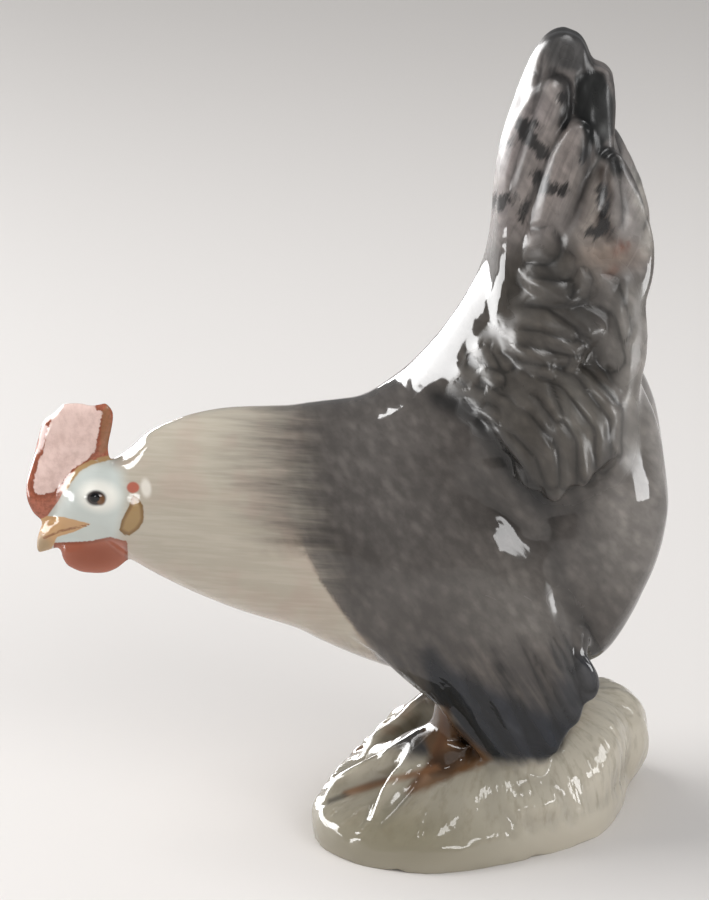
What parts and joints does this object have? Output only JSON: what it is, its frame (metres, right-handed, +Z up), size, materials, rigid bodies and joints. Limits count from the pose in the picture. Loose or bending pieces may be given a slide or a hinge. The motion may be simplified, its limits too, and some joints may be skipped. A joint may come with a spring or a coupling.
{
  "type": "hen figurine",
  "caption": "Glazed porcelain figurine of a hen that reaches her head forward and low with the tail held high, on a low grassy mound with a flat foot.",
  "frame": {"origin": "middle of the bounding box, on the flat foot ring", "axes": "+Z up from the foot to the tip of the tail; the head points along -X; +Y is the hen's right side"},
  "size_m": [0.1542, 0.0824, 0.1956],
  "materials": {
    "glazed_porcelain": "gloss"
  },
  "bodies": {
    "root": {"hen": "glazed_porcelain"}
  },
  "joints": []
}
